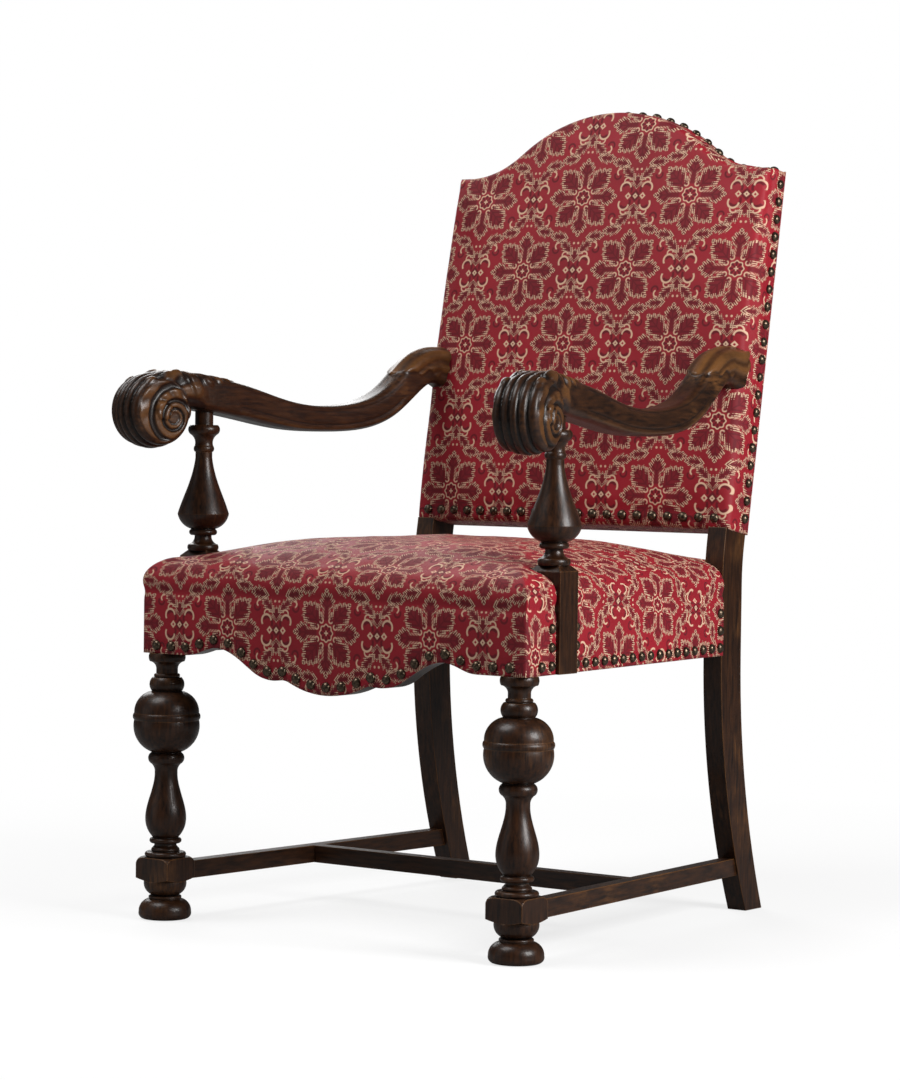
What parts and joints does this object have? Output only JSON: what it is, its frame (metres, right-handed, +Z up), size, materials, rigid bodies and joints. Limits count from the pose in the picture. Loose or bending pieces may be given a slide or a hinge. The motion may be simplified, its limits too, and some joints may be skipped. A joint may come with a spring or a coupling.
{
  "type": "ceremonial armchair",
  "caption": "Carved wooden armchair with scrolled arms, turned front legs, a stretcher frame, and a seat and arched back stuffed and covered in nailed damask.",
  "frame": {"origin": "on the floor, under the middle of the chair's overall width and depth", "axes": "+Z up, the chair faces -Y, +X is the sitter's left"},
  "size_m": [0.6714, 0.7115, 1.0802],
  "materials": {
    "dark_wood": "dark stained, satin polish",
    "damask": "woven red and gold damask",
    "stuffing": "matte",
    "webbing": "coarse jute",
    "hessian": "coarse weave",
    "bronze_nails": "antique, worn bright on top",
    "steel_screws": "plain"
  },
  "bodies": {
    "root": {"front_leg_left": "dark_wood", "front_leg_right": "dark_wood", "rear_post_left": "dark_wood", "rear_post_right": "dark_wood", "side_rail_left": "dark_wood", "side_rail_right": "dark_wood", "front_rail": "dark_wood", "rear_rail": "dark_wood", "side_stretcher_left": "dark_wood", "side_stretcher_right": "dark_wood", "cross_stretcher": "dark_wood", "arm_support_left": "dark_wood", "arm_support_right": "dark_wood", "arm_left": "dark_wood", "arm_right": "dark_wood", "lower_back_rail": "dark_wood", "crest_rail": "dark_wood", "corner_blocks": "dark_wood", "seat_cover": "damask", "back_cover": "damask", "outside_back_cover": "damask", "seat_stuffing": "stuffing", "back_stuffing": "stuffing", "seat_webbing_lengthwise": "webbing", "seat_webbing_crosswise": "webbing", "back_webbing_upright": "webbing", "back_webbing_crosswise": "webbing", "seat_hessian": "hessian", "back_hessian": "hessian", "seat_front_nails": "bronze_nails", "seat_side_nails_left": "bronze_nails", "seat_side_nails_right": "bronze_nails", "back_bottom_nails": "bronze_nails", "back_side_nails_left": "bronze_nails", "back_side_nails_right": "bronze_nails", "back_top_nails": "bronze_nails", "corner_block_screws": "steel_screws", "arm_support_screws": "steel_screws", "arm_screws": "steel_screws"}
  },
  "joints": []
}
